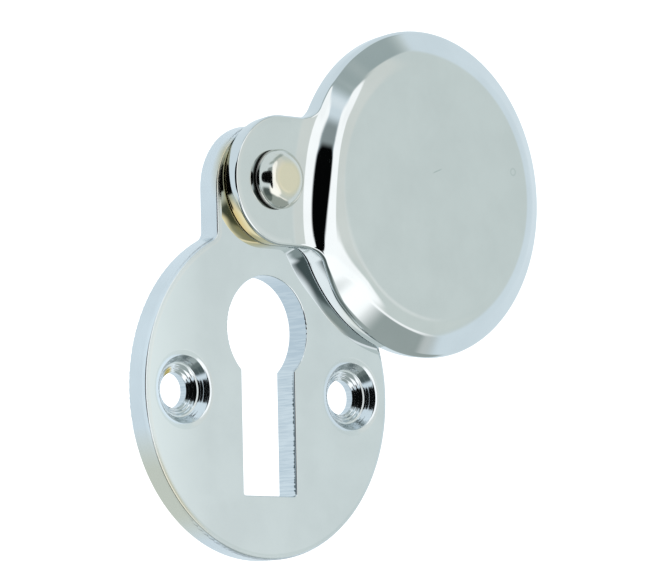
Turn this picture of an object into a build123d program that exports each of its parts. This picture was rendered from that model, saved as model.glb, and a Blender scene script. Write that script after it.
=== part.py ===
from build123d import *
from math import cos, radians, sin, tan
import os

# Covered keyhole escutcheon: a round keyhole plate whose cover swings aside on a rivet.
# Millimetres. The back lies on the door at y = 0, the front faces -Y and +Z is up.
# The origin is midway between the screw holes, on the back face.

# Back plate, a disc with an ear on top for the pivot
plate_diameter = 32.0
plate_thickness = 2.4
plate_edge_radius = 0.6
plate_back_edge_radius = 0.15
ear_width = 12.6
ear_corner_radius = 0.95

# Keyhole, a round with a slot below it
keyhole_diameter = 10.4
keyhole_height = 6.05
keyhole_slot_width = 6.9
keyhole_slot_depth = 9.87
keyhole_slot_corner_radius = 0.3
keyhole_edge_radius = 0.13

# Screw holes, countersunk in two stages: a shallow seat and a steep mouth
screw_inset = 5.0
screw_hole_diameter = 3.4
screw_land = 0.85
screw_seat_diameter = 5.2
screw_seat_rise = 0.7
screw_mouth_diameter = 6.5
screw_mouth_edge_radius = 0.25

# Pivot, shared by the ear and the cover's tab
ear_reach = 4.35
pivot_to_tip = 5.42
cover_open_angle = 88.8

# Swing cover, a cushion dome with a low wall
cover_diameter = 32.0
cover_wall = 1.6
cover_dome_rise = 1.8
cover_side_angle = 33.0
cover_crown_radius = 3.4
cover_edge_radius = 0.3
cover_back_edge_radius = 0.12

# Tab of the cover, flat at the pivot, with a hollow foot that runs up the dome's side
tab_reach = 3.7
tab_width = 12.6
tab_corner_radius = 2.5
tab_foot_radius = 5.0
tab_cheek_angle = 35.0
tab_inset = 0.06

# Rivet, with a domed head in front and a flared tail behind
shank_diameter = 3.2
head_diameter = 5.75
head_side = 0.5
head_crown = 1.1
head_flat_diameter = 2.4
head_edge_radius = 0.15
tail_diameter = 4.6
tail_depth = 0.8

# Clearances
running_clearance = 0.05
fixed_clearance = 0.02
cover_gap = 0.1
head_gap = 0.1

# Radii and outline points
plate_radius = plate_diameter / 2
cover_radius = cover_diameter / 2
shank_radius = shank_diameter / 2
head_radius = head_diameter / 2
tail_radius = tail_diameter / 2
pivot_height = plate_radius + ear_reach
cover_arm = cover_radius + tab_reach
ear_end = pivot_height + pivot_to_tip - ear_width / 2
tab_end = pivot_to_tip - tab_width / 2

# The dome's side is straight; the foot is an arc tangent to it and to the tab's face
cover_height = cover_wall + cover_dome_rise
side_slope = radians(cover_side_angle)
top_radius = cover_radius - cover_dome_rise / tan(side_slope)
foot_reach = tab_foot_radius * tan(side_slope / 2)
foot_top = (
    cover_radius - foot_reach * cos(side_slope),
    cover_wall + foot_reach * sin(side_slope),
)

# The foot is trimmed to each side by a cheek that passes the end of the tab's rounded corner
tab_root = cover_radius - tab_inset
corner_end = tab_root * (tab_width / 2 + tab_corner_radius) / (tab_root + tab_corner_radius)
cheek_low = corner_end + cover_wall / tan(radians(tab_cheek_angle))
cheek_high = corner_end - cover_dome_rise / tan(radians(tab_cheek_angle))

# Levels in front of the door
cover_level = plate_thickness + cover_gap
head_level = cover_level + cover_wall + head_gap
crown_level = head_level + head_side + head_crown

# The cover's plane has its origin on the pivot and -y towards the disc
swing = radians(cover_open_angle)
cover_plane = Plane(
    origin=(0, -cover_level, pivot_height),
    x_dir=(cos(swing), 0, sin(swing)),
    z_dir=(0, -1, 0),
)

# Sections for turned forms: x is the radius and y is the distance forward
disc_section = Plane(
    origin=cover_plane.from_local_coords((0, -cover_arm, 0)),
    x_dir=cover_plane.x_dir,
    z_dir=-cover_plane.y_dir,
)
pivot_section = Plane(origin=(0, 0, pivot_height), x_dir=(1, 0, 0), z_dir=(0, 0, -1))

os.makedirs("parts", exist_ok=True)


# Back plate
with BuildPart() as back_plate:
    with BuildSketch(Plane.XZ) as plate_outline:
        Circle(plate_radius)
        Rectangle(ear_width, ear_end, align=(Align.CENTER, Align.MIN))
        with Locations((0, ear_end)):
            Circle(ear_width / 2)
        ear_corners = plate_outline.vertices().filter_by_position(Axis.Y, 0, ear_end, (False, False))
        fillet(ear_corners, ear_corner_radius)
    extrude(amount=plate_thickness)
    fillet(back_plate.faces().sort_by(Axis.Y)[0].edges(), plate_edge_radius)
    fillet(back_plate.faces().sort_by(Axis.Y)[-1].edges(), plate_back_edge_radius)

    # Screw holes, each turned about its own axis
    for hole_x in (screw_inset - plate_radius, plate_radius - screw_inset):
        hole_section = Plane(origin=(hole_x, 0, 0), x_dir=(1, 0, 0), z_dir=(0, 0, -1))
        with BuildSketch(hole_section):
            with BuildLine():
                Polyline(
                    (0, 0),
                    (screw_hole_diameter / 2, 0),
                    (screw_hole_diameter / 2, screw_land),
                    (screw_seat_diameter / 2, screw_land + screw_seat_rise),
                    (screw_mouth_diameter / 2, plate_thickness),
                    (0, plate_thickness),
                    close=True,
                )
            make_face()
        revolve(axis=Axis(hole_section.origin, hole_section.y_dir), mode=Mode.SUBTRACT)
        fillet(back_plate.edges(Select.LAST).group_by(Axis.Y)[0], screw_mouth_edge_radius)

    # Keyhole through the plate, with its front edge broken
    with BuildSketch(Plane.XZ) as keyhole:
        with Locations((0, keyhole_height)):
            Circle(keyhole_diameter / 2)
        with Locations((0, keyhole_height)):
            Rectangle(
                keyhole_slot_width,
                keyhole_height + keyhole_slot_depth,
                align=(Align.CENTER, Align.MAX),
            )
        fillet(keyhole.vertices().group_by(Axis.Y)[0], keyhole_slot_corner_radius)
    extrude(amount=plate_thickness, mode=Mode.SUBTRACT)
    fillet(back_plate.edges(Select.LAST).group_by(Axis.Y)[0], keyhole_edge_radius)

    # Rivet hole, opened out behind for the flared tail
    with BuildSketch(pivot_section):
        with BuildLine():
            Polyline(
                (0, 0),
                (tail_radius + fixed_clearance, 0),
                (shank_radius + fixed_clearance, tail_depth),
                (shank_radius + fixed_clearance, plate_thickness),
                (0, plate_thickness),
                close=True,
            )
        make_face()
    revolve(axis=Axis(pivot_section.origin, pivot_section.y_dir), mode=Mode.SUBTRACT)
back_plate.part.label = "back_plate"


# Swing cover: the tab with its foot, joined to the disc with its dome
with BuildPart() as swing_cover:
    disc_axis = Axis(disc_section.origin, disc_section.y_dir)

    # The tab's blank ends a little inside the disc, so that its corners run into the disc's wall
    with BuildSketch(cover_plane) as tab_outline:
        with Locations((0, -cover_arm)):
            Circle(tab_root)
            Rectangle(tab_width, cover_arm + tab_end, align=(Align.CENTER, Align.MIN))
        with Locations((0, tab_end)):
            Circle(tab_width / 2)
        tab_corners = tab_outline.vertices().filter_by_position(
            Axis.Y, -cover_arm, tab_end, (False, False)
        )
        fillet(tab_corners, tab_corner_radius)
    extrude(amount=cover_height)

    with BuildSketch(disc_section):
        with BuildLine():
            foot = TangentArc((cover_radius + foot_reach, cover_wall), foot_top, tangent=(-1, 0))
            outer = cover_arm + pivot_to_tip + cover_radius
            Polyline(
                foot @ 1,
                (foot_top[0] - foot_reach, 0),
                (outer, 0),
                (outer, cover_wall),
                foot @ 0,
            )
        make_face()
    revolve(axis=disc_axis, mode=Mode.INTERSECT)

    # The front and back edges of the tab are broken
    back_face = swing_cover.faces().sort_by(Axis.Y)[-1]
    walls = swing_cover.faces().filter_by(lambda f: abs(f.normal_at().Y) < 1e-3)
    front_loop = walls.edges().filter_by(lambda e: e.bounding_box().max.Y < -cover_level - 1e-3)
    fillet(front_loop, cover_edge_radius)
    fillet(back_face.outer_wire().edges(), cover_back_edge_radius)

    with BuildSketch(disc_section):
        with BuildLine():
            Polyline(
                (-cheek_low, 0),
                (cheek_low, 0),
                (cheek_high, cover_height),
                (-cheek_high, cover_height),
                close=True,
            )
        make_face()
    extrude(amount=-(cover_arm + pivot_to_tip), mode=Mode.INTERSECT)

    # Disc with its dome, turned
    with BuildSketch(disc_section) as disc_profile:
        with BuildLine():
            Polyline(
                (0, 0),
                (cover_radius, 0),
                (cover_radius, cover_wall),
                (top_radius, cover_height),
                (0, cover_height),
                close=True,
            )
        make_face()
        fillet(disc_profile.vertices().group_by(Axis.X)[1], cover_crown_radius)
        fillet(disc_profile.vertices().group_by(Axis.X)[-1].sort_by(Axis.Y)[-1], cover_edge_radius)
        fillet(disc_profile.vertices().group_by(Axis.X)[-1].sort_by(Axis.Y)[0], cover_back_edge_radius)
    revolve(axis=disc_axis)

    with BuildSketch(cover_plane):
        Circle(shank_radius + running_clearance)
    extrude(amount=cover_height, mode=Mode.SUBTRACT)
swing_cover.part.label = "swing_cover"


# Pivot rivet: domed head, plain shank and a tail flared flush with the plate's back
with BuildPart() as pivot_rivet:
    with BuildSketch(pivot_section) as rivet_section:
        with BuildLine():
            top = Line((0, crown_level), (head_flat_diameter / 2, crown_level))
            dome = TangentArc(top @ 1, (head_radius, head_level + head_side), tangent=top % 1)
            Polyline(
                dome @ 1,
                (head_radius, head_level),
                (shank_radius, head_level),
                (shank_radius, tail_depth),
                (tail_radius, 0),
                (0, 0),
                top @ 0,
            )
        make_face()
        rim = rivet_section.vertices().group_by(Axis.X)[-1].sort_by(Axis.Y)[-1]
        fillet(rim, head_edge_radius)
    revolve(axis=Axis(pivot_section.origin, pivot_section.y_dir))
pivot_rivet.part.label = "pivot_rivet"

export_step(back_plate.part, "parts/back_plate.step")
export_step(swing_cover.part, "parts/swing_cover.step")
export_step(pivot_rivet.part, "parts/pivot_rivet.step")
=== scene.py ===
import math
import bmesh
import bpy
import numpy as np
from mathutils import Matrix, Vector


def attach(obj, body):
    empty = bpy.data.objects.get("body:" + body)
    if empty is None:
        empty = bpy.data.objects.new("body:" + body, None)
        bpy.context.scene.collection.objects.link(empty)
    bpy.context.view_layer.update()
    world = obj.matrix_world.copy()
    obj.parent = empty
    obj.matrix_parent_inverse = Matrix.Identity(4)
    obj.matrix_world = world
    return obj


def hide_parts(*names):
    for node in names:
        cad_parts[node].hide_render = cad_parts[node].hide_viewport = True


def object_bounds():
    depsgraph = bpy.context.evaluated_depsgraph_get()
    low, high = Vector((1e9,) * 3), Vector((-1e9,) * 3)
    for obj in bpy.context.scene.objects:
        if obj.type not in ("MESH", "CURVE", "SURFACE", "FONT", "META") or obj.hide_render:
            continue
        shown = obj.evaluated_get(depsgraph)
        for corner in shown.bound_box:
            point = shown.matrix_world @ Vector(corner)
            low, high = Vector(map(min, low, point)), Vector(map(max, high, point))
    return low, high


# Covered keyhole escutcheon in polished chrome over brass, with its cover swung open.
# Metres. The back lies on the door at y = 0, the front faces -Y and +Z is up.

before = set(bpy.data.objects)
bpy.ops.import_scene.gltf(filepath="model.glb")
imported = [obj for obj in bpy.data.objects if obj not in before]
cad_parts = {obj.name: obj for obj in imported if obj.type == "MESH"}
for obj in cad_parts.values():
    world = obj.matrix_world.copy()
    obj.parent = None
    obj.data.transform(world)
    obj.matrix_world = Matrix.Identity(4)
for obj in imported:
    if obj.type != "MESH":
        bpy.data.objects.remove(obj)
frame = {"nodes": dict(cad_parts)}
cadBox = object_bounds()
mm = 0.001
print("frame loaded:", ", ".join(frame["nodes"]))

# Mix has sockets of the same name for each kind of data, so these go by their place
vectorA, vectorB, colorA, colorB = 4, 5, 6, 7
mixedVector, mixedColor = 1, 2


def hexColor(code, strength=1.0):
    # sRGB hex to linear, times a strength for light
    srgb = [int(code[i:i + 2], 16) / 255 for i in (1, 3, 5)]
    linear = [c / 12.92 if c <= 0.04045 else ((c + 0.055) / 1.055) ** 2.4 for c in srgb]
    return [c * strength for c in linear] + [1.0]


def addNode(tree, kind, inputs=None, out=0, **settings):
    # One node: its settings, then each input as a value or as a socket to link from; gives back one output
    node = tree.nodes.new("ShaderNode" + kind)
    for key, value in settings.items():
        setattr(node, key, value)
    for key, value in (inputs or {}).items():
        if isinstance(value, bpy.types.NodeSocket):
            tree.links.new(value, node.inputs[key])
        else:
            node.inputs[key].default_value = value
    return node.outputs[out] if node.outputs else None


def span(pair):
    # A pair of settings as the values that become 0 and 1
    return {"From Min": pair[0], "From Max": pair[1]}


# Studio: soft panels painted on the sky by direction, azimuth from -Y towards +X, each over the ones before
studio = {
    "background": ("#FFFFFF", 1.3),
    "tent": ("#E1EDF4", 1.06),
    # colour, strength, azimuth, elevation, half width, half height, softness, roundness (2 is an ellipse)
    "panels": [
        # Card on the right that the flats mirror, with its outer part, a light strip and its lower part
        ("#E4E8E4", 1.05, 28.0, 4.6, 27.6, 56.0, 5.0, 6),
        ("#D9E2E0", 1.04, 51.0, 9.0, 11.0, 58.0, 10.0, 6),
        ("#F2F6F4", 1.04, 40.5, -12.0, 4.0, 14.5, 4.0, 4),
        ("#DCE4E1", 1.04, 39.0, -24.0, 16.0, 20.0, 8.0, 4),
        # Greys below and above, on the dome's lower and upper sides
        ("#A9B3B1", 1.0, 25.0, -66.0, 122.0, 28.0, 6.0, 8),
        ("#AEBBBB", 1.0, -6.0, 48.5, 24.0, 5.5, 5.0, 3),
        ("#AEBBBB", 1.0, 36.0, 56.0, 34.0, 6.0, 5.0, 3),
        # White strips beside the dark line on the tab's foot, and a grey above it
        ("#FFFFFF", 1.3, 1.1, -1.2, 11.3, 40.0, 2.5, 6),
        ("#FFFFFF", 1.25, 8.5, 34.0, 8.0, 11.0, 4.0, 4),
        ("#98A2A3", 1.0, -24.0, 26.0, 14.5, 8.0, 5.0, 3),
        # White on the crown's lower left, and a thin line along the crown's lower edge
        ("#FFFFFF", 1.3, 13.0, -16.5, 12.5, 15.0, 6.0, 2),
        ("#FFFFFF", 1.2, 30.0, -38.0, 26.0, 2.6, 2.6, 4),
        # Dark panel round the camera: the foot, the rivet and the countersinks mirror it
        ("#060707", 1.0, -42.0, 6.0, 34.0, 19.0, 3.0, 3),
        # Greys low on the left, for the cover's wall as the plate mirrors it
        ("#737E7C", 1.0, -50.0, -64.0, 30.0, 16.0, 4.0, 4),
        ("#566262", 1.0, -50.0, -42.0, 30.0, 15.0, 12.0, 4),
        # White on the dome's lower left, and the dark line's pointed lower end
        ("#FFFFFF", 1.4, -6.0, -31.5, 24.0, 13.0, 9.0, 4),
        ("#060707", 1.0, -16.5, -11.0, 7.0, 14.0, 2.0, 2),
    ],
}


def makeStudio(s):
    # The sky's colour, with each panel mixed over it where a ray's azimuth and elevation fall inside
    world = bpy.data.worlds.new("studioTent")
    bpy.context.scene.world = world
    world.use_nodes = True
    tree = world.node_tree
    tree.nodes.clear()

    ray = addNode(tree, "TexCoord", out="Generated")
    xyz = addNode(tree, "SeparateXYZ", {0: ray}).node.outputs
    front = addNode(tree, "Math", {0: xyz["Y"], 1: -1.0}, operation="MULTIPLY")
    turn = addNode(tree, "Math", {0: xyz["X"], 1: front}, operation="ARCTAN2")
    rise = addNode(tree, "Math", {0: xyz["Z"]}, operation="ARCSINE")
    color = hexColor(*s["tent"])
    for code, strength, azimuth, elevation, halfWidth, halfHeight, soft, roundness in s["panels"]:
        # Distance from the panel's middle, 1 at its edge: the root of two powers, as in a rounded rectangle
        powers = []
        for angle, middle, half in ((turn, azimuth, halfWidth), (rise, elevation, halfHeight)):
            scale, shift = math.degrees(1 / half), -middle / half
            share = addNode(tree, "Math", {0: angle, 1: scale, 2: shift}, operation="MULTIPLY_ADD")
            share = addNode(tree, "Math", {0: share}, operation="ABSOLUTE")
            powers.append(addNode(tree, "Math", {0: share, 1: roundness}, operation="POWER"))
        reach = addNode(tree, "Math", dict(enumerate(powers)), operation="ADD")
        reach = addNode(tree, "Math", {0: reach, 1: 1 / roundness}, operation="POWER")
        fade = soft / 2 / min(halfWidth, halfHeight)
        inside = {"Value": reach, **span((1 + fade, 1 - fade))}
        inside = addNode(tree, "MapRange", inside, interpolation_type="SMOOTHSTEP")
        over = {"Factor": inside, colorA: color, colorB: hexColor(code, strength)}
        color = addNode(tree, "Mix", over, mixedColor, data_type="RGBA")
    seen = addNode(tree, "LightPath", out="Is Camera Ray")
    over = {"Factor": seen, colorA: color, colorB: hexColor(*s["background"])}
    color = addNode(tree, "Mix", over, mixedColor, data_type="RGBA")
    addNode(tree, "OutputWorld", {"Surface": addNode(tree, "Background", {"Color": color})})


makeStudio(studio)
bpy.context.scene.view_settings.view_transform = "Standard"
print("studio ready")


# Floor: pale and plain, well below the part, kept out of its reflections
floorSet = {"size": 4.0, "drop": 0.3, "color": "#F4F5F5", "roughness": 0.8}


def makeFloor(s):
    # A level square about the origin, at the part's lowest point less the drop
    half, z = s["size"] / 2, cadBox[0][2] - s["drop"]
    mesh = bpy.data.meshes.new("floor")
    mesh.from_pydata(
        [(-half, -half, z), (half, -half, z), (half, half, z), (-half, half, z)], [], [(0, 1, 2, 3)]
    )
    floor = bpy.data.objects.new("floor", mesh)
    bpy.context.scene.collection.objects.link(floor)
    floor.visible_glossy = False
    paint = bpy.data.materials.new("mattPaper")
    paint.use_nodes = True
    shader = paint.node_tree.nodes["Principled BSDF"]
    shader.inputs["Base Color"].default_value = hexColor(s["color"])
    shader.inputs["Roughness"].default_value = s["roughness"]
    mesh.materials.append(paint)


makeFloor(floorSet)
print("floor ready")


# Cover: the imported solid's form as a dense surface, with the lower half of the tab's foot drawn straighter
coverSet = {
    "pivot": 20.35, "level": 2.5, "swing": 88.8, "arm": 19.7, "tip": 5.42,
    "radius": 16.0, "wall": 1.6, "height": 3.4, "flat": 12.221, "shoulder": 13.228,
    "tabWidth": 12.6, "corner": 2.5, "hole": 1.65, "edge": 0.3, "backEdge": 0.12, "undercut": 0.14,
    "foot": 5.0, "footLeast": 0.02, "footFrom": 10.0, "footStraight": 0.6, "footShift": 1.6,
    "footFade": (23.0, 46.0), "shoulderShare": 0.65,
    # Where the tab's mesh meets the disc's, and points along the outline's pieces and along that joint
    "split": 17.7, "sidePoints": 10, "endPoints": 150, "joinPoints": 12, "cornerPoints": 30,
    "discPoints": 560, "splitPoints": 72,
    # Rows over the tab, over the dome from these shares of the way out, and round the front and back edges
    "tabRows": 9, "domeRows": 96, "domeFrom": (1e-4, 0.33, 0.62), "edgeRows": 8, "backRows": 5,
}
weld = 0.002 * mm


def addPiece(name, points, quads, node, body):
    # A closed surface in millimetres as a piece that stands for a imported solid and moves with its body
    mesh = bpy.data.meshes.new(name)
    mesh.from_pydata((points * mm).tolist(), [], quads.tolist())
    work = bmesh.new()
    work.from_mesh(mesh)
    bmesh.ops.remove_doubles(work, verts=work.verts, dist=weld)
    bmesh.ops.recalc_face_normals(work, faces=work.faces)
    work.to_mesh(mesh)
    work.free()
    mesh.shade_smooth()
    piece = bpy.data.objects.new(name, mesh)
    bpy.context.scene.collection.objects.link(piece)
    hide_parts(node)
    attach(piece, body)
    return piece


def smoothStep(x, low, high):
    # From 0 to 1 with level ends: three squares less two cubes of the share of the way
    t = np.clip((x - low) / (high - low), 0, 1)
    return t * t * (3 - 2 * t)


def coverHeight(s, points):
    # Height of the front face: round flat top, crown arc, straight side, foot arc, flat tab.
    # On the tab's lower half the foot line leaves its circle for a tangent, up to a set shift.
    u, v = points.T
    radius, angle = np.hypot(u, v), np.arctan2(v, u)
    inTab = 1 - smoothStep(np.abs(np.degrees(angle)), *s["footFade"])
    lean = np.clip(math.radians(s["footFrom"]) - angle, 0, 1)
    straight = s["footStraight"] * s["radius"] * (1 / np.cos(lean) - 1)
    shift = inTab * s["footShift"] * np.tanh(straight / s["footShift"])
    footLine = s["radius"] + shift
    shoulder = s["shoulder"] + s["shoulderShare"] * shift
    slope = np.arctan2(s["height"] - s["wall"], footLine - shoulder)
    crown = (shoulder - s["flat"]) / np.tan(slope / 2)
    crownEnd = s["flat"] + crown * np.sin(slope)
    foot = s["footLeast"] + s["foot"] * inTab
    footEnd = footLine + foot * np.tan(slope / 2)
    footStart = footEnd - foot * np.sin(slope)
    onCrown = np.clip(radius - s["flat"], 0, crown)
    onFoot = np.clip(footEnd - radius, 0, foot)
    top = s["height"] - crown + np.sqrt(crown ** 2 - onCrown ** 2)
    side = s["height"] - (radius - shoulder) * np.tan(slope)
    hollow = s["wall"] + foot - np.sqrt(foot ** 2 - onFoot ** 2)
    return np.where(radius < crownEnd, top, np.where(radius < footStart, side, hollow))


def coverOutline(s):
    # Points of the outline and their inward normals, from the split round the tab's end, then round the disc
    half, endU = s["tabWidth"] / 2, s["arm"] + s["tip"] - s["tabWidth"] / 2
    cornerV = half + s["corner"]
    cornerU = math.sqrt((s["radius"] + s["corner"]) ** 2 - cornerV ** 2)
    touch = math.atan2(cornerV, cornerU)

    def arc(center, radius, start, end, count, sign):
        turn = np.linspace(start, end, count)
        ray = np.column_stack([np.cos(turn), np.sin(turn)])
        return np.array(center) + radius * ray, sign * ray

    def run(start, end, v, count, normal):
        line = np.column_stack([np.linspace(start, end, count), np.full(count, v)])
        return line, np.tile(normal, (count, 1))

    tab = [
        run(s["split"], endU, half, s["sidePoints"], (0.0, -1.0)),
        arc((endU, 0), half, math.pi / 2, -math.pi / 2, s["endPoints"], -1),
        run(endU, s["split"], -half, s["sidePoints"], (0.0, 1.0)),
    ]
    disc = [
        run(s["split"], cornerU, -half, s["joinPoints"], (0.0, 1.0)),
        arc((cornerU, -cornerV), s["corner"], math.pi / 2, math.pi - touch, s["cornerPoints"], 1),
        arc((0, 0), s["radius"], -touch, touch - 2 * math.pi, s["discPoints"], -1),
        arc((cornerU, cornerV), s["corner"], math.pi + touch, 1.5 * math.pi, s["cornerPoints"], 1),
        run(cornerU, s["split"], half, s["joinPoints"], (0.0, -1.0)),
    ]
    return [
        tuple(np.vstack([piece[k] for piece in part]) for k in (0, 1))
        for part in (tab, disc)
    ]


def makeCover(s):
    # Rows of points over the tab, from the rivet's hole, and over the disc, from its middle, to the outline.
    # A wall with quarter-round edges joins front and back, and all of it is turned about the pivot.
    corners, faces, count = [], [], 0

    def strip(rings):
        # Quads between rows of points (n, 3), each row as long as the next
        nonlocal count
        rows, length = len(rings), len(rings[0])
        grid = count + np.arange(rows * length).reshape(rows, length)
        quads = np.stack([grid[:-1, :-1], grid[:-1, 1:], grid[1:, 1:], grid[1:, :-1]], axis=-1)
        corners.append(np.vstack(rings))
        faces.append(quads.reshape(-1, 4))
        count += rows * length

    def lift(points, height):
        return np.column_stack([points, np.broadcast_to(height, len(points))])

    tab, disc = coverOutline(s)
    pivot = np.array([s["arm"], 0.0])
    middle, within, outFrom = s["domeFrom"]
    for front in (True, False):
        edge = s["edge"] if front else s["backEdge"] + s["undercut"]
        chord = np.linspace(s["tabWidth"] / 2 - edge, edge - s["tabWidth"] / 2, s["splitPoints"])
        chord = np.column_stack([np.full_like(chord, s["split"]), chord])
        tabLoop = np.vstack([tab[0] + edge * tab[1], chord[::-1]])
        discLoop = np.vstack([disc[0] + edge * disc[1], chord])
        turn = np.arctan2(tabLoop[:, 1], tabLoop[:, 0] - pivot[0])
        rim = pivot + s["hole"] * np.column_stack([np.cos(turn), np.sin(turn)])
        flat = [rim + f * (tabLoop - rim) for f in np.linspace(0, 1, s["tabRows"])]
        outer = np.linspace(outFrom, 1, s["domeRows"]) if front else np.array([1.0])
        dome = [discLoop * f for f in (middle, within, *outer)]
        for rows in (flat, dome):
            strip([lift(p, coverHeight(s, p) if front else 0.0) for p in rows])
        if front:
            strip([lift(rim, coverHeight(s, rim)), lift(rim, 0.0)])
    for points, normals in (tab, disc):
        rings = []
        for turn in np.linspace(math.pi / 2, 0, s["edgeRows"]):
            inset = points + s["edge"] * (1 - math.cos(turn)) * normals
            rings.append(lift(inset, coverHeight(s, inset) - s["edge"] * (1 - math.sin(turn))))
        for turn in np.linspace(0, math.pi / 2, s["backRows"]):
            inset = points + (s["undercut"] + s["backEdge"] * (1 - math.cos(turn))) * normals
            rings.append(lift(inset, s["backEdge"] * (1 - math.sin(turn))))
        strip(rings)

    swing = math.radians(s["swing"])
    along = np.array([-math.sin(swing), 0, math.cos(swing)])
    across = np.array([math.cos(swing), 0, math.sin(swing)])
    center = np.array([0, -s["level"], s["pivot"]]) - s["arm"] * along
    u, v, h = np.vstack(corners).T
    place = center + np.outer(u, along) + np.outer(v, across) + np.outer(h, [0, -1, 0])
    return addPiece("swingCover", place, np.vstack(faces), "swing_cover", "cover")


swingCover = makeCover(coverSet)
print("cover ready:", len(swingCover.data.polygons), "faces")


# Rivet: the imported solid's profile turned about the pivot, domed head, shank and flared tail
rivetSet = {
    "pivot": 20.35, "shank": 1.6, "head": 2.875, "headLevel": 4.2, "side": 0.5, "crown": 1.1, "flat": 1.2,
    "tail": 2.3, "tailDepth": 0.8, "corner": 0.03, "middle": 1e-4,
    "turns": 128, "domeRows": 40, "topRows": 6, "topTo": 0.95,
}


def makeRivet(s):
    # Profile of radius and level: flat top, arc tangent to it, straight side, shank and tail
    reach, rim = s["head"] - s["flat"], s["headLevel"] + s["side"]
    arc = (reach ** 2 + s["crown"] ** 2) / (2 * s["crown"])
    bend = np.linspace(0, math.asin(reach / arc), s["domeRows"])
    dome = np.column_stack([s["flat"] + arc * np.sin(bend), rim + s["crown"] - arc * (1 - np.cos(bend))])
    bends = np.array([
        (s["head"], rim), (s["head"], s["headLevel"]), (s["shank"], s["headLevel"]),
        (s["shank"], s["tailDepth"]), (s["tail"], 0), (s["middle"], 0),
    ])
    legs = np.diff(bends, axis=0)
    step = s["corner"] * legs / np.linalg.norm(legs, axis=1)[:, None]
    sides = np.stack([bends[:-1] + step, bends[1:] - step], axis=1).reshape(-1, 2)
    top = np.linspace(s["middle"], s["topTo"], s["topRows"]) * s["flat"]
    top = np.column_stack([top, np.full_like(top, rim + s["crown"])])
    radius, level = np.vstack([top, dome, sides, bends[-1:]]).T
    turn = np.linspace(0, 2 * math.pi, s["turns"] + 1)
    points = np.stack([
        np.outer(radius, np.cos(turn)),
        np.outer(-level, np.ones_like(turn)),
        s["pivot"] + np.outer(radius, np.sin(turn)),
    ], axis=-1)
    grid = np.arange(points[..., 0].size).reshape(points.shape[:2])
    quads = np.stack([grid[:-1, :-1], grid[:-1, 1:], grid[1:, 1:], grid[1:, :-1]], axis=-1)
    return addPiece("pivotRivet", points.reshape(-1, 3), quads.reshape(-1, 4), "pivot_rivet", "plate")


pivotRivet = makeRivet(rivetSet)
print("rivet ready:", len(pivotRivet.data.polygons), "faces")


# Polished chrome over brass: a cool mirror with faint buffing streaks and a few dull finger marks.
# In the nooks beside the tab a warm tint is painted in as a reflection of warm light.
# The streaks are drawn coarser than real ones, so that they show in the render.
chrome = {
    # The warm colour here is a painted reflection of warm light, set on the cover's tab wall
    "color": "#DCE1E2", "dull": "#D8DDDE", "warmReflection": "#E3D6AC", "pivot": 20.35,
    "mottle": 4.0, "mottleRange": (0.35, 0.65),
    "roughness": (0.02, 0.05), "streak": (5.0, 0.35), "streakRange": (0.3, 0.7), "streakDepth": 0.00012,
    "mark": 2.6, "markRange": (0.64, 0.76), "markRoughness": 0.1,
}


def startMaterial(name):
    # An empty material, and the place and facing of its surface in the part's own frame, in millimetres
    material = bpy.data.materials.new(name)
    material.use_nodes = True
    tree = material.node_tree
    tree.nodes.clear()
    coordinates = addNode(tree, "TexCoord").node.outputs
    place = addNode(tree, "VectorMath", {0: coordinates["Object"], "Scale": 1 / mm}, operation="SCALE")
    facing = addNode(tree, "SeparateXYZ", {0: coordinates["Normal"]}, "Y")
    facing = addNode(tree, "Math", {0: facing}, operation="ABSOLUTE")
    return material, tree, place, facing


def buff(tree, s, place):
    # Slow mottling of the colour, and roughness that follows the buffing streaks and the finger marks
    mottle = addNode(tree, "TexNoise", {"Vector": place, "Scale": 1 / s["mottle"], "Detail": 3.0})
    mottle = addNode(tree, "MapRange", {"Value": mottle, **span(s["mottleRange"])})
    shades = {"Factor": mottle, colorA: hexColor(s["color"]), colorB: hexColor(s["dull"])}
    color = addNode(tree, "Mix", shades, mixedColor, data_type="RGBA")
    length, width = s["streak"]
    stretch = (1 / width, 1 / width, 1 / length)
    lines = addNode(tree, "VectorMath", {0: place, 1: stretch}, operation="MULTIPLY")
    streak = addNode(tree, "TexNoise", {"Vector": lines, "Scale": 1.0, "Detail": 4.0})
    low, high = s["roughness"]
    roughness = {"Value": streak, **span(s["streakRange"]), "To Min": low, "To Max": high}
    roughness = addNode(tree, "MapRange", roughness)
    mark = {"Vector": place, "Scale": 1 / s["mark"], "Detail": 5.0, "Roughness": 0.65}
    mark = addNode(tree, "TexNoise", mark)
    mark = addNode(tree, "MapRange", {"Value": mark, **span(s["markRange"])})
    roughness = {0: mark, 1: s["markRoughness"], 2: roughness}
    roughness = addNode(tree, "Math", roughness, operation="MULTIPLY_ADD")
    return color, roughness, streak


def fromPivot(tree, s, place):
    # Offset from the rivet's axis, square to it
    offset = {0: place, 1: (1, 0, 1), 2: (0, 0, -s["pivot"])}
    return addNode(tree, "VectorMath", offset, operation="MULTIPLY_ADD")


def finishMetal(tree, color, layers, roughness, normal):
    # Tints mixed over the metal's colour one after another, each by its mask, then the shader
    for mask, code in layers:
        over = {"Factor": mask, colorA: color, colorB: hexColor(code)}
        color = addNode(tree, "Mix", over, mixedColor, data_type="RGBA")
    metal = {"Base Color": color, "Metallic": 1.0, "Roughness": roughness, "Normal": normal}
    addNode(tree, "OutputMaterial", {"Surface": addNode(tree, "BsdfPrincipled", metal)})


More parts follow.
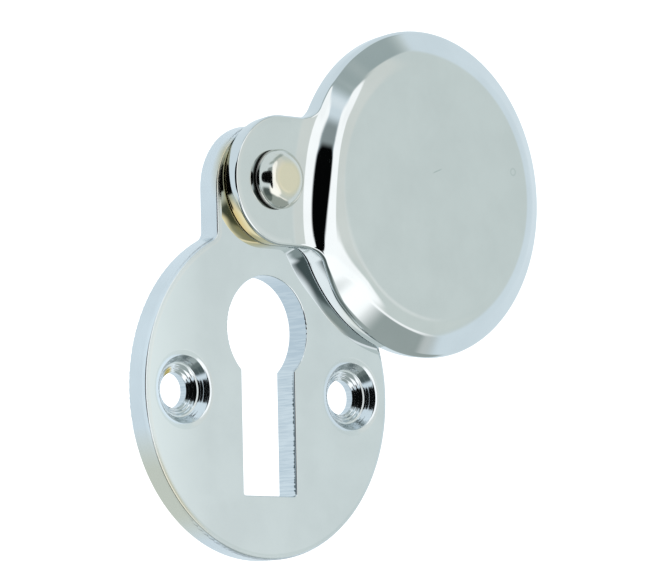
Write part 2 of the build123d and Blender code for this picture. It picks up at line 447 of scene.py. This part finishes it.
# Plate: the same chrome, a little bluer, with turned countersinks, broached keyhole walls and a buffed rim.
# The turning rings and the broaching marks are drawn coarser than real ones, so that they show in the render.
plateChrome = {
    # The lighter tint on the front's left is painted sheen
    **chrome, "color": "#E0E6E9", "dull": "#DBE1E4", "paintedSheen": "#F0F6F9", "paintedSheenFrom": (-8.0, -15.0),
    "holes": 11.0, "sinkDepth": 1.55, "thickness": 2.4,
    # radius in mm and tilt in degrees across a countersink, from its bore out to its rolled mouth
    "sink": [
        (1.7, 36.0), (2.47, 38.0), (2.53, 9.0), (2.57, 9.0), (2.64, 53.0),
        (3.18, 53.0), (3.3, 27.0), (3.52, 15.0), (3.85, 0.0),
    ],
    "sinkFade": (0.05, 0.1), "sinkRoughness": 0.09, "sideEase": 1.7,
    "ring": 0.15, "ringRange": (0.25, 0.75), "ringTilt": 10.0,
    "rim": 14.6, "rimFade": 0.3, "rimEdge": (0.995, 0.9), "rimSquare": (0.95, 0.4), "rimRoughness": 0.2,
    # The warm tint on the rim's lower left is a painted reflection of warm light
    "rimWarmReflection": "#D4D2C2", "tintWay": (-0.78, 0, -0.62), "tintFrom": (14.4, 15.7),
    "broach": (3.0, 0.16), "broachRange": (0.4, 0.75), "broached": "#C4CED5", "wallFacing": (0.3, 0.1),
    "upperWall": (2.0, 4.0), "upperShare": 0.55,
    # The dark line along the slot's front edge is painted shade on its bevel
    "paintedEdgeShade": "#545E61", "paintedEdgeShadeDepth": 0.65, "paintedEdgeShadeFade": 0.1, "lowerWall": (3.0, -1.0),
    # The warm colour in the nook beside the tab is a painted reflection of the tab's warm wall
    "warmReflection": "#C8B987", "nook": (6.6, 5.2), "nookWay": (-0.85, 0, -0.53), "nookFrom": (1.0, 3.0),
    "nookDepth": (-1.44, -2.16),
    "bare": "#E0C36A", "bareSpot": (-11.95, -1.05, 1.65), "bareSize": (0.7, 0.3),
}


def turnSinks(tree, s, place, depth, normal):
    # Both countersinks folded onto one, then a turned cone's normal: the front's, tilted towards the axis
    # by the angle at that radius.
    # The easing holds one reflection over more of each side, as worn polishing does.
    sides = addNode(tree, "VectorMath", {0: place}, operation="SIGN")
    folded = addNode(tree, "VectorMath", {0: place}, operation="ABSOLUTE")
    offset = {0: folded, 1: (1, 0, 1), 2: (-s["holes"], 0, 0)}
    offset = addNode(tree, "VectorMath", offset, operation="MULTIPLY_ADD")
    radius = addNode(tree, "VectorMath", {0: offset}, "Value", operation="LENGTH")
    ray = addNode(tree, "VectorMath", {0: offset}, operation="NORMALIZE")
    across = addNode(tree, "SeparateXYZ", {0: ray}).node.outputs
    eased = addNode(tree, "Math", {0: across["Z"], 1: s["sideEase"]}, operation="POWER")
    ray = addNode(tree, "CombineXYZ", {"X": across["X"], "Z": eased})
    ray = addNode(tree, "VectorMath", {0: ray, 1: sides}, operation="MULTIPLY")
    ray = addNode(tree, "VectorMath", {0: ray}, operation="NORMALIZE")

    # Tilt by a ramp over the radius, as a share of the steepest one, varied by the turning rings
    most, widest = max(tilt for _, tilt in s["sink"]), s["sink"][-1][0]
    share = addNode(tree, "Math", {0: radius, 1: 1 / widest}, operation="MULTIPLY")
    tilt = addNode(tree, "ValToRGB", {0: share})
    ramp = tilt.node.color_ramp
    for at, degrees in s["sink"][:-1]:
        ramp.elements.new(at / widest).color = [degrees / most] * 3 + [1.0]
    for end in (0, -1):
        ramp.elements[end].color = [s["sink"][end][1] / most] * 3 + [1.0]
    rings = {"W": radius, "Scale": 1 / s["ring"], "Detail": 2.0}
    rings = addNode(tree, "TexNoise", rings, noise_dimensions="1D")
    least, largest = (math.radians(most + turn) for turn in (-s["ringTilt"], s["ringTilt"]))
    rings = {"Value": rings, **span(s["ringRange"]), "To Min": least, "To Max": largest}
    rings = addNode(tree, "MapRange", rings)
    tilt = addNode(tree, "Math", {0: tilt, 1: rings}, operation="MULTIPLY")
    lean = addNode(tree, "Math", {0: tilt}, operation="SINE")
    lean = addNode(tree, "VectorMath", {0: ray, "Scale": lean}, operation="SCALE")
    rise = addNode(tree, "Math", {0: tilt}, operation="COSINE")
    rise = addNode(tree, "CombineXYZ", {"Y": rise})
    turned = addNode(tree, "VectorMath", {0: lean, 1: rise}, operation="ADD")
    turned = addNode(tree, "VectorMath", {0: turned, "Scale": -1.0}, operation="SCALE")
    turned = addNode(
        tree, "VectorTransform", {0: turned}, vector_type="NORMAL", convert_from="OBJECT", convert_to="WORLD"
    )

    land, (mouthFade, landFade) = s["sinkDepth"] - s["thickness"], s["sinkFade"]
    inSink = addNode(tree, "MapRange", {"Value": radius, **span((widest, widest - mouthFade))})
    before = addNode(tree, "MapRange", {"Value": depth, **span((land + landFade, land))})
    inSink = addNode(tree, "Math", {0: inSink, 1: before}, operation="MULTIPLY")
    normal = {"Factor": inSink, vectorA: normal, vectorB: turned}
    return inSink, addNode(tree, "Mix", normal, mixedVector, data_type="VECTOR")


def buffRim(tree, s, facing, middle, normal):
    # Edges softened by the buffing wheel, their round drawn as narrow as it looks: the normal is the front's,
    # then the wall's, with a short change from one to the other
    outer = addNode(tree, "MapRange", {"Value": middle, **span((s["rim"], s["rim"] + s["rimFade"]))})
    edge = addNode(tree, "MapRange", {"Value": facing, **span(s["rimEdge"])})
    soft = addNode(tree, "Math", {0: outer, 1: edge}, operation="MULTIPLY")
    square = {"Value": facing, **span(s["rimSquare"])}
    square = addNode(tree, "MapRange", square, interpolation_type="SMOOTHSTEP")
    ways = []
    for axes in ((0, 1, 0), (1, 0, 1)):
        way = addNode(tree, "VectorMath", {0: normal, 1: axes}, operation="MULTIPLY")
        ways.append(addNode(tree, "VectorMath", {0: way}, operation="NORMALIZE"))
    crisp = {"Factor": square, vectorA: ways[0], vectorB: ways[1]}
    crisp = addNode(tree, "Mix", crisp, mixedVector, data_type="VECTOR")
    normal = {"Factor": soft, vectorA: normal, vectorB: crisp}
    return soft, addNode(tree, "Mix", normal, mixedVector, data_type="VECTOR")


def broachKeyhole(tree, s, place, xyz, facing, middle):
    # Marks that run through the thickness, from stretched noise, more on the round than on the slot,
    # and a ragged dark line painted along the slot's front edge as shade on its bevel
    length, width = s["broach"]
    stretch = (1 / width, 1 / length, 1 / width)
    lines = addNode(tree, "VectorMath", {0: place, 1: stretch}, operation="MULTIPLY")
    broach = addNode(tree, "TexNoise", {"Vector": lines, "Scale": 1.0, "Detail": 3.0})
    wall = addNode(tree, "MapRange", {"Value": facing, **span(s["wallFacing"])})
    within = addNode(tree, "MapRange", {"Value": middle, **span((s["rim"], s["rim"] - s["rimFade"]))})
    wall = addNode(tree, "Math", {0: wall, 1: within}, operation="MULTIPLY")
    scored = addNode(tree, "MapRange", {"Value": broach, **span(s["broachRange"])})
    upper = {"Value": xyz["Z"], **span(s["upperWall"]), "To Max": s["upperShare"]}
    upper = addNode(tree, "MapRange", upper)
    scored = addNode(tree, "Math", {0: scored, 1: upper}, operation="ADD")
    scored = addNode(tree, "Math", {0: scored, 1: wall}, operation="MULTIPLY")
    # Painted shade along the slot's front edge, made ragged by the broaching noise
    paintedEdgeShade = addNode(tree, "Math", {0: broach, 1: -s["paintedEdgeShadeDepth"], 2: xyz["Y"]}, operation="MULTIPLY_ADD")
    ends = (-s["thickness"], -s["thickness"] - s["paintedEdgeShadeFade"])
    paintedEdgeShade = addNode(tree, "MapRange", {"Value": paintedEdgeShade, **span(ends)})
    lower = addNode(tree, "MapRange", {"Value": xyz["Z"], **span(s["lowerWall"])})
    for mask in (lower, wall):
        paintedEdgeShade = addNode(tree, "Math", {0: paintedEdgeShade, 1: mask}, operation="MULTIPLY")
    return scored, paintedEdgeShade


def makePlateChrome(s):
    # Masks from the surface's place and facing, each with its own tint, roughness or normal
    material, tree, place, facing = startMaterial("polishedChromePlate")
    color, roughness, streak = buff(tree, s, place)
    xyz = addNode(tree, "SeparateXYZ", {0: place}).node.outputs
    middle = addNode(tree, "VectorMath", {0: place, 1: (1, 0, 1)}, operation="MULTIPLY")
    middle = addNode(tree, "VectorMath", {0: middle}, "Value", operation="LENGTH")

    normal = addNode(tree, "NewGeometry", out="Normal")
    inSink, normal = turnSinks(tree, s, place, xyz["Y"], normal)
    soft, normal = buffRim(tree, s, facing, middle, normal)
    normal = addNode(tree, "Bump", {"Distance": s["streakDepth"] * mm, "Height": streak, "Normal": normal})
    for mask, more in ((inSink, s["sinkRoughness"]), (soft, s["rimRoughness"])):
        roughness = addNode(tree, "Math", {0: mask, 1: more, 2: roughness}, operation="MULTIPLY_ADD")
    scored, paintedEdgeShade = broachKeyhole(tree, s, place, xyz, facing, middle)

    # Painted sheen: a lighter tint on the front's left; and a painted warm reflection on the rim's lower left
    paintedSheen = addNode(tree, "MapRange", {"Value": xyz["X"], **span(s["paintedSheenFrom"])})
    paintedSheen = addNode(tree, "Math", {0: paintedSheen, 1: facing}, operation="MULTIPLY")
    tint = addNode(tree, "VectorMath", {0: place, 1: s["tintWay"]}, "Value", operation="DOT_PRODUCT")
    tint = addNode(tree, "MapRange", {"Value": tint, **span(s["tintFrom"])})
    tint = addNode(tree, "Math", {0: tint, 1: soft}, operation="MULTIPLY")

    # Painted warm reflection of the tab's wall in the nook beside the tab, at the ear's lower left, and one
    # bare spot in the left countersink
    away = fromPivot(tree, s, place)
    down = addNode(tree, "VectorMath", {0: away, 1: s["nookWay"]}, "Value", operation="DOT_PRODUCT")
    away = addNode(tree, "VectorMath", {0: away}, "Value", operation="LENGTH")
    nook = addNode(tree, "MapRange", {"Value": away, **span(s["nook"])})
    for value, ends in ((down, s["nookFrom"]), (xyz["Y"], s["nookDepth"])):
        mask = addNode(tree, "MapRange", {"Value": value, **span(ends)})
        nook = addNode(tree, "Math", {0: nook, 1: mask}, operation="MULTIPLY")
    bare = addNode(tree, "VectorMath", {0: place, 1: s["bareSpot"]}, "Value", operation="DISTANCE")
    bare = addNode(tree, "MapRange", {"Value": bare, **span(s["bareSize"])})

    layers = [
        (paintedSheen, s["paintedSheen"]), (tint, s["rimWarmReflection"]), (scored, s["broached"]),
        (paintedEdgeShade, s["paintedEdgeShade"]), (nook, s["warmReflection"]), (bare, s["bare"]),
    ]
    finishMetal(tree, color, layers, roughness, normal)
    return material


# Cover: the chrome again, with a painted warm reflection on the tab's end wall over the ear, a scratch and a
# ring mark
coverChrome = {
    **chrome, "nook": (4.3, 5.4), "nookWay": (-0.6, 0, -0.8), "wallFacing": (0.5, 0.2),
    "scored": "#BCC7C6", "front": (-5.0, -5.4),
    "scratch": (19.97, 22.08), "scratchTurn": 20.0, "scratchLong": 0.75, "scratchWide": 0.09,
    "dent": (30.48, 22.54), "dentRadius": 0.33, "dentWide": 0.13, "dentShare": 0.5,
}


def makeCoverChrome(s):
    # Painted warm reflection by the distance from the pivot towards the lower left, on walls only, and two
    # marks on the front
    material, tree, place, facing = startMaterial("polishedChromeCover")
    color, roughness, streak = buff(tree, s, place)
    normal = addNode(tree, "Bump", {"Distance": s["streakDepth"] * mm, "Height": streak})
    away = fromPivot(tree, s, place)
    down = addNode(tree, "VectorMath", {0: away, 1: s["nookWay"]}, "Value", operation="DOT_PRODUCT")
    nook = addNode(tree, "MapRange", {"Value": down, **span(s["nook"])})
    wall = addNode(tree, "MapRange", {"Value": facing, **span(s["wallFacing"])})
    nook = addNode(tree, "Math", {0: nook, 1: wall}, operation="MULTIPLY")

    # Scratch: within its length along a line, and within its width beside it
    turn = math.radians(s["scratchTurn"])
    x, z = s["scratch"]
    offset = addNode(tree, "VectorMath", {0: place, 1: (x, 0, z)}, operation="SUBTRACT")
    shares = []
    for way, ends in (
        ((math.cos(turn), 0, math.sin(turn)), (s["scratchLong"], s["scratchLong"] / 2)),
        ((-math.sin(turn), 0, math.cos(turn)), (s["scratchWide"], 0.0)),
    ):
        reach = addNode(tree, "VectorMath", {0: offset, 1: way}, "Value", operation="DOT_PRODUCT")
        reach = addNode(tree, "Math", {0: reach}, operation="ABSOLUTE")
        shares.append(addNode(tree, "MapRange", {"Value": reach, **span(ends)}))
    scratch = addNode(tree, "Math", dict(enumerate(shares)), operation="MULTIPLY")

    # Ring mark: near a small circle
    x, z = s["dent"]
    dent = {0: place, 1: (1, 0, 1), 2: (-x, 0, -z)}
    dent = addNode(tree, "VectorMath", dent, operation="MULTIPLY_ADD")
    dent = addNode(tree, "VectorMath", {0: dent}, "Value", operation="LENGTH")
    dent = addNode(tree, "Math", {0: dent, 1: s["dentRadius"]}, operation="SUBTRACT")
    dent = addNode(tree, "Math", {0: dent}, operation="ABSOLUTE")
    dent = addNode(tree, "MapRange", {"Value": dent, **span((s["dentWide"], 0.0)), "To Max": s["dentShare"]})
    marks = addNode(tree, "Math", {0: scratch, 1: dent}, operation="ADD")
    level = addNode(tree, "SeparateXYZ", {0: place}, "Y")
    front = addNode(tree, "MapRange", {"Value": level, **span(s["front"])})
    marks = addNode(tree, "Math", {0: marks, 1: front}, operation="MULTIPLY")
    finishMetal(tree, color, [(nook, s["warmReflection"]), (marks, s["scored"])], roughness, normal)
    return material


# Bright nickel on the rivet: a warm mirror, with a cream highlight painted on the head's top and painted
# shade where the head meets the tab
nickel = {
    **chrome, "color": "#DDDDD6", "dull": "#D6D6CE", "roughness": (0.09, 0.14), "cream": "#EAE1C9",
    # The cream on the head's top is a painted highlight, and the dark colour at the crevice is painted shade
    "paintedHighlight": (1.9, 1.3), "paintedShade": "#2E2C27", "level": 4.2, "crevice": (0.42, 0.12),
}


def makeNickel(s):
    # Cream painted highlight by the distance from the axis, and painted shade by the distance from the head's
    # underside
    material, tree, place, _ = startMaterial("brightNickel")
    color, roughness, streak = buff(tree, s, place)
    normal = addNode(tree, "Bump", {"Distance": s["streakDepth"] * mm, "Height": streak})
    away = addNode(tree, "VectorMath", {0: fromPivot(tree, s, place)}, "Value", operation="LENGTH")
    paintedHighlight = addNode(tree, "MapRange", {"Value": away, **span(s["paintedHighlight"])})
    level = addNode(tree, "SeparateXYZ", {0: place}, "Y")
    crevice = addNode(tree, "Math", {0: level, 1: s["level"]}, operation="ADD")
    crevice = addNode(tree, "Math", {0: crevice}, operation="ABSOLUTE")
    crevice = addNode(tree, "MapRange", {"Value": crevice, **span(s["crevice"])})
    finishMetal(tree, color, [(paintedHighlight, s["cream"]), (crevice, s["paintedShade"])], roughness, normal)
    return material


finishes = {
    "back_plate": makePlateChrome(plateChrome),
    "swing_cover": makeCoverChrome(coverChrome),
    "pivot_rivet": makeNickel(nickel),
}
swingCover.data.materials.append(finishes["swing_cover"])
pivotRivet.data.materials.append(finishes["pivot_rivet"])
for name, node in frame["nodes"].items():
    for slot in node.material_slots:
        slot.material = finishes[name]
print("materials ready")


# Camera: a long lens from the front left, a little below the part
cameraSet = {
    "azimuth": -44.184,
    "elevation": -4.647,
    "roll": -1.185,
    "distance": 700 * mm,
    "aimRight": 7.768 * mm,
    "aimUp": 9.6696 * mm,
    "lens": 395.46,
    "near": 10 * mm,
}


def makeCamera(s):
    # Back along the view by the distance, then across and up in the picture to the point aimed at
    az, el, roll = (math.radians(s[k]) for k in ("azimuth", "elevation", "roll"))
    back = np.array([math.sin(az) * math.cos(el), -math.cos(az) * math.cos(el), math.sin(el)])
    level = np.cross([0, 0, 1], back)
    level /= np.linalg.norm(level)
    upright = np.cross(back, level)
    right = math.cos(roll) * level + math.sin(roll) * upright
    up = math.cos(roll) * upright - math.sin(roll) * level
    place = back * s["distance"] + right * s["aimRight"] + up * s["aimUp"]
    data = bpy.data.cameras.new("camera")
    data.sensor_fit = "HORIZONTAL"
    data.lens = s["lens"]
    data.clip_start = s["near"]
    camera = bpy.data.objects.new("camera", data)
    bpy.context.scene.collection.objects.link(camera)
    camera.matrix_world = Matrix(np.column_stack([right, up, back, place]).tolist() + [[0, 0, 0, 1]])
    bpy.context.scene.camera = camera


makeCamera(cameraSet)
print("camera ready")
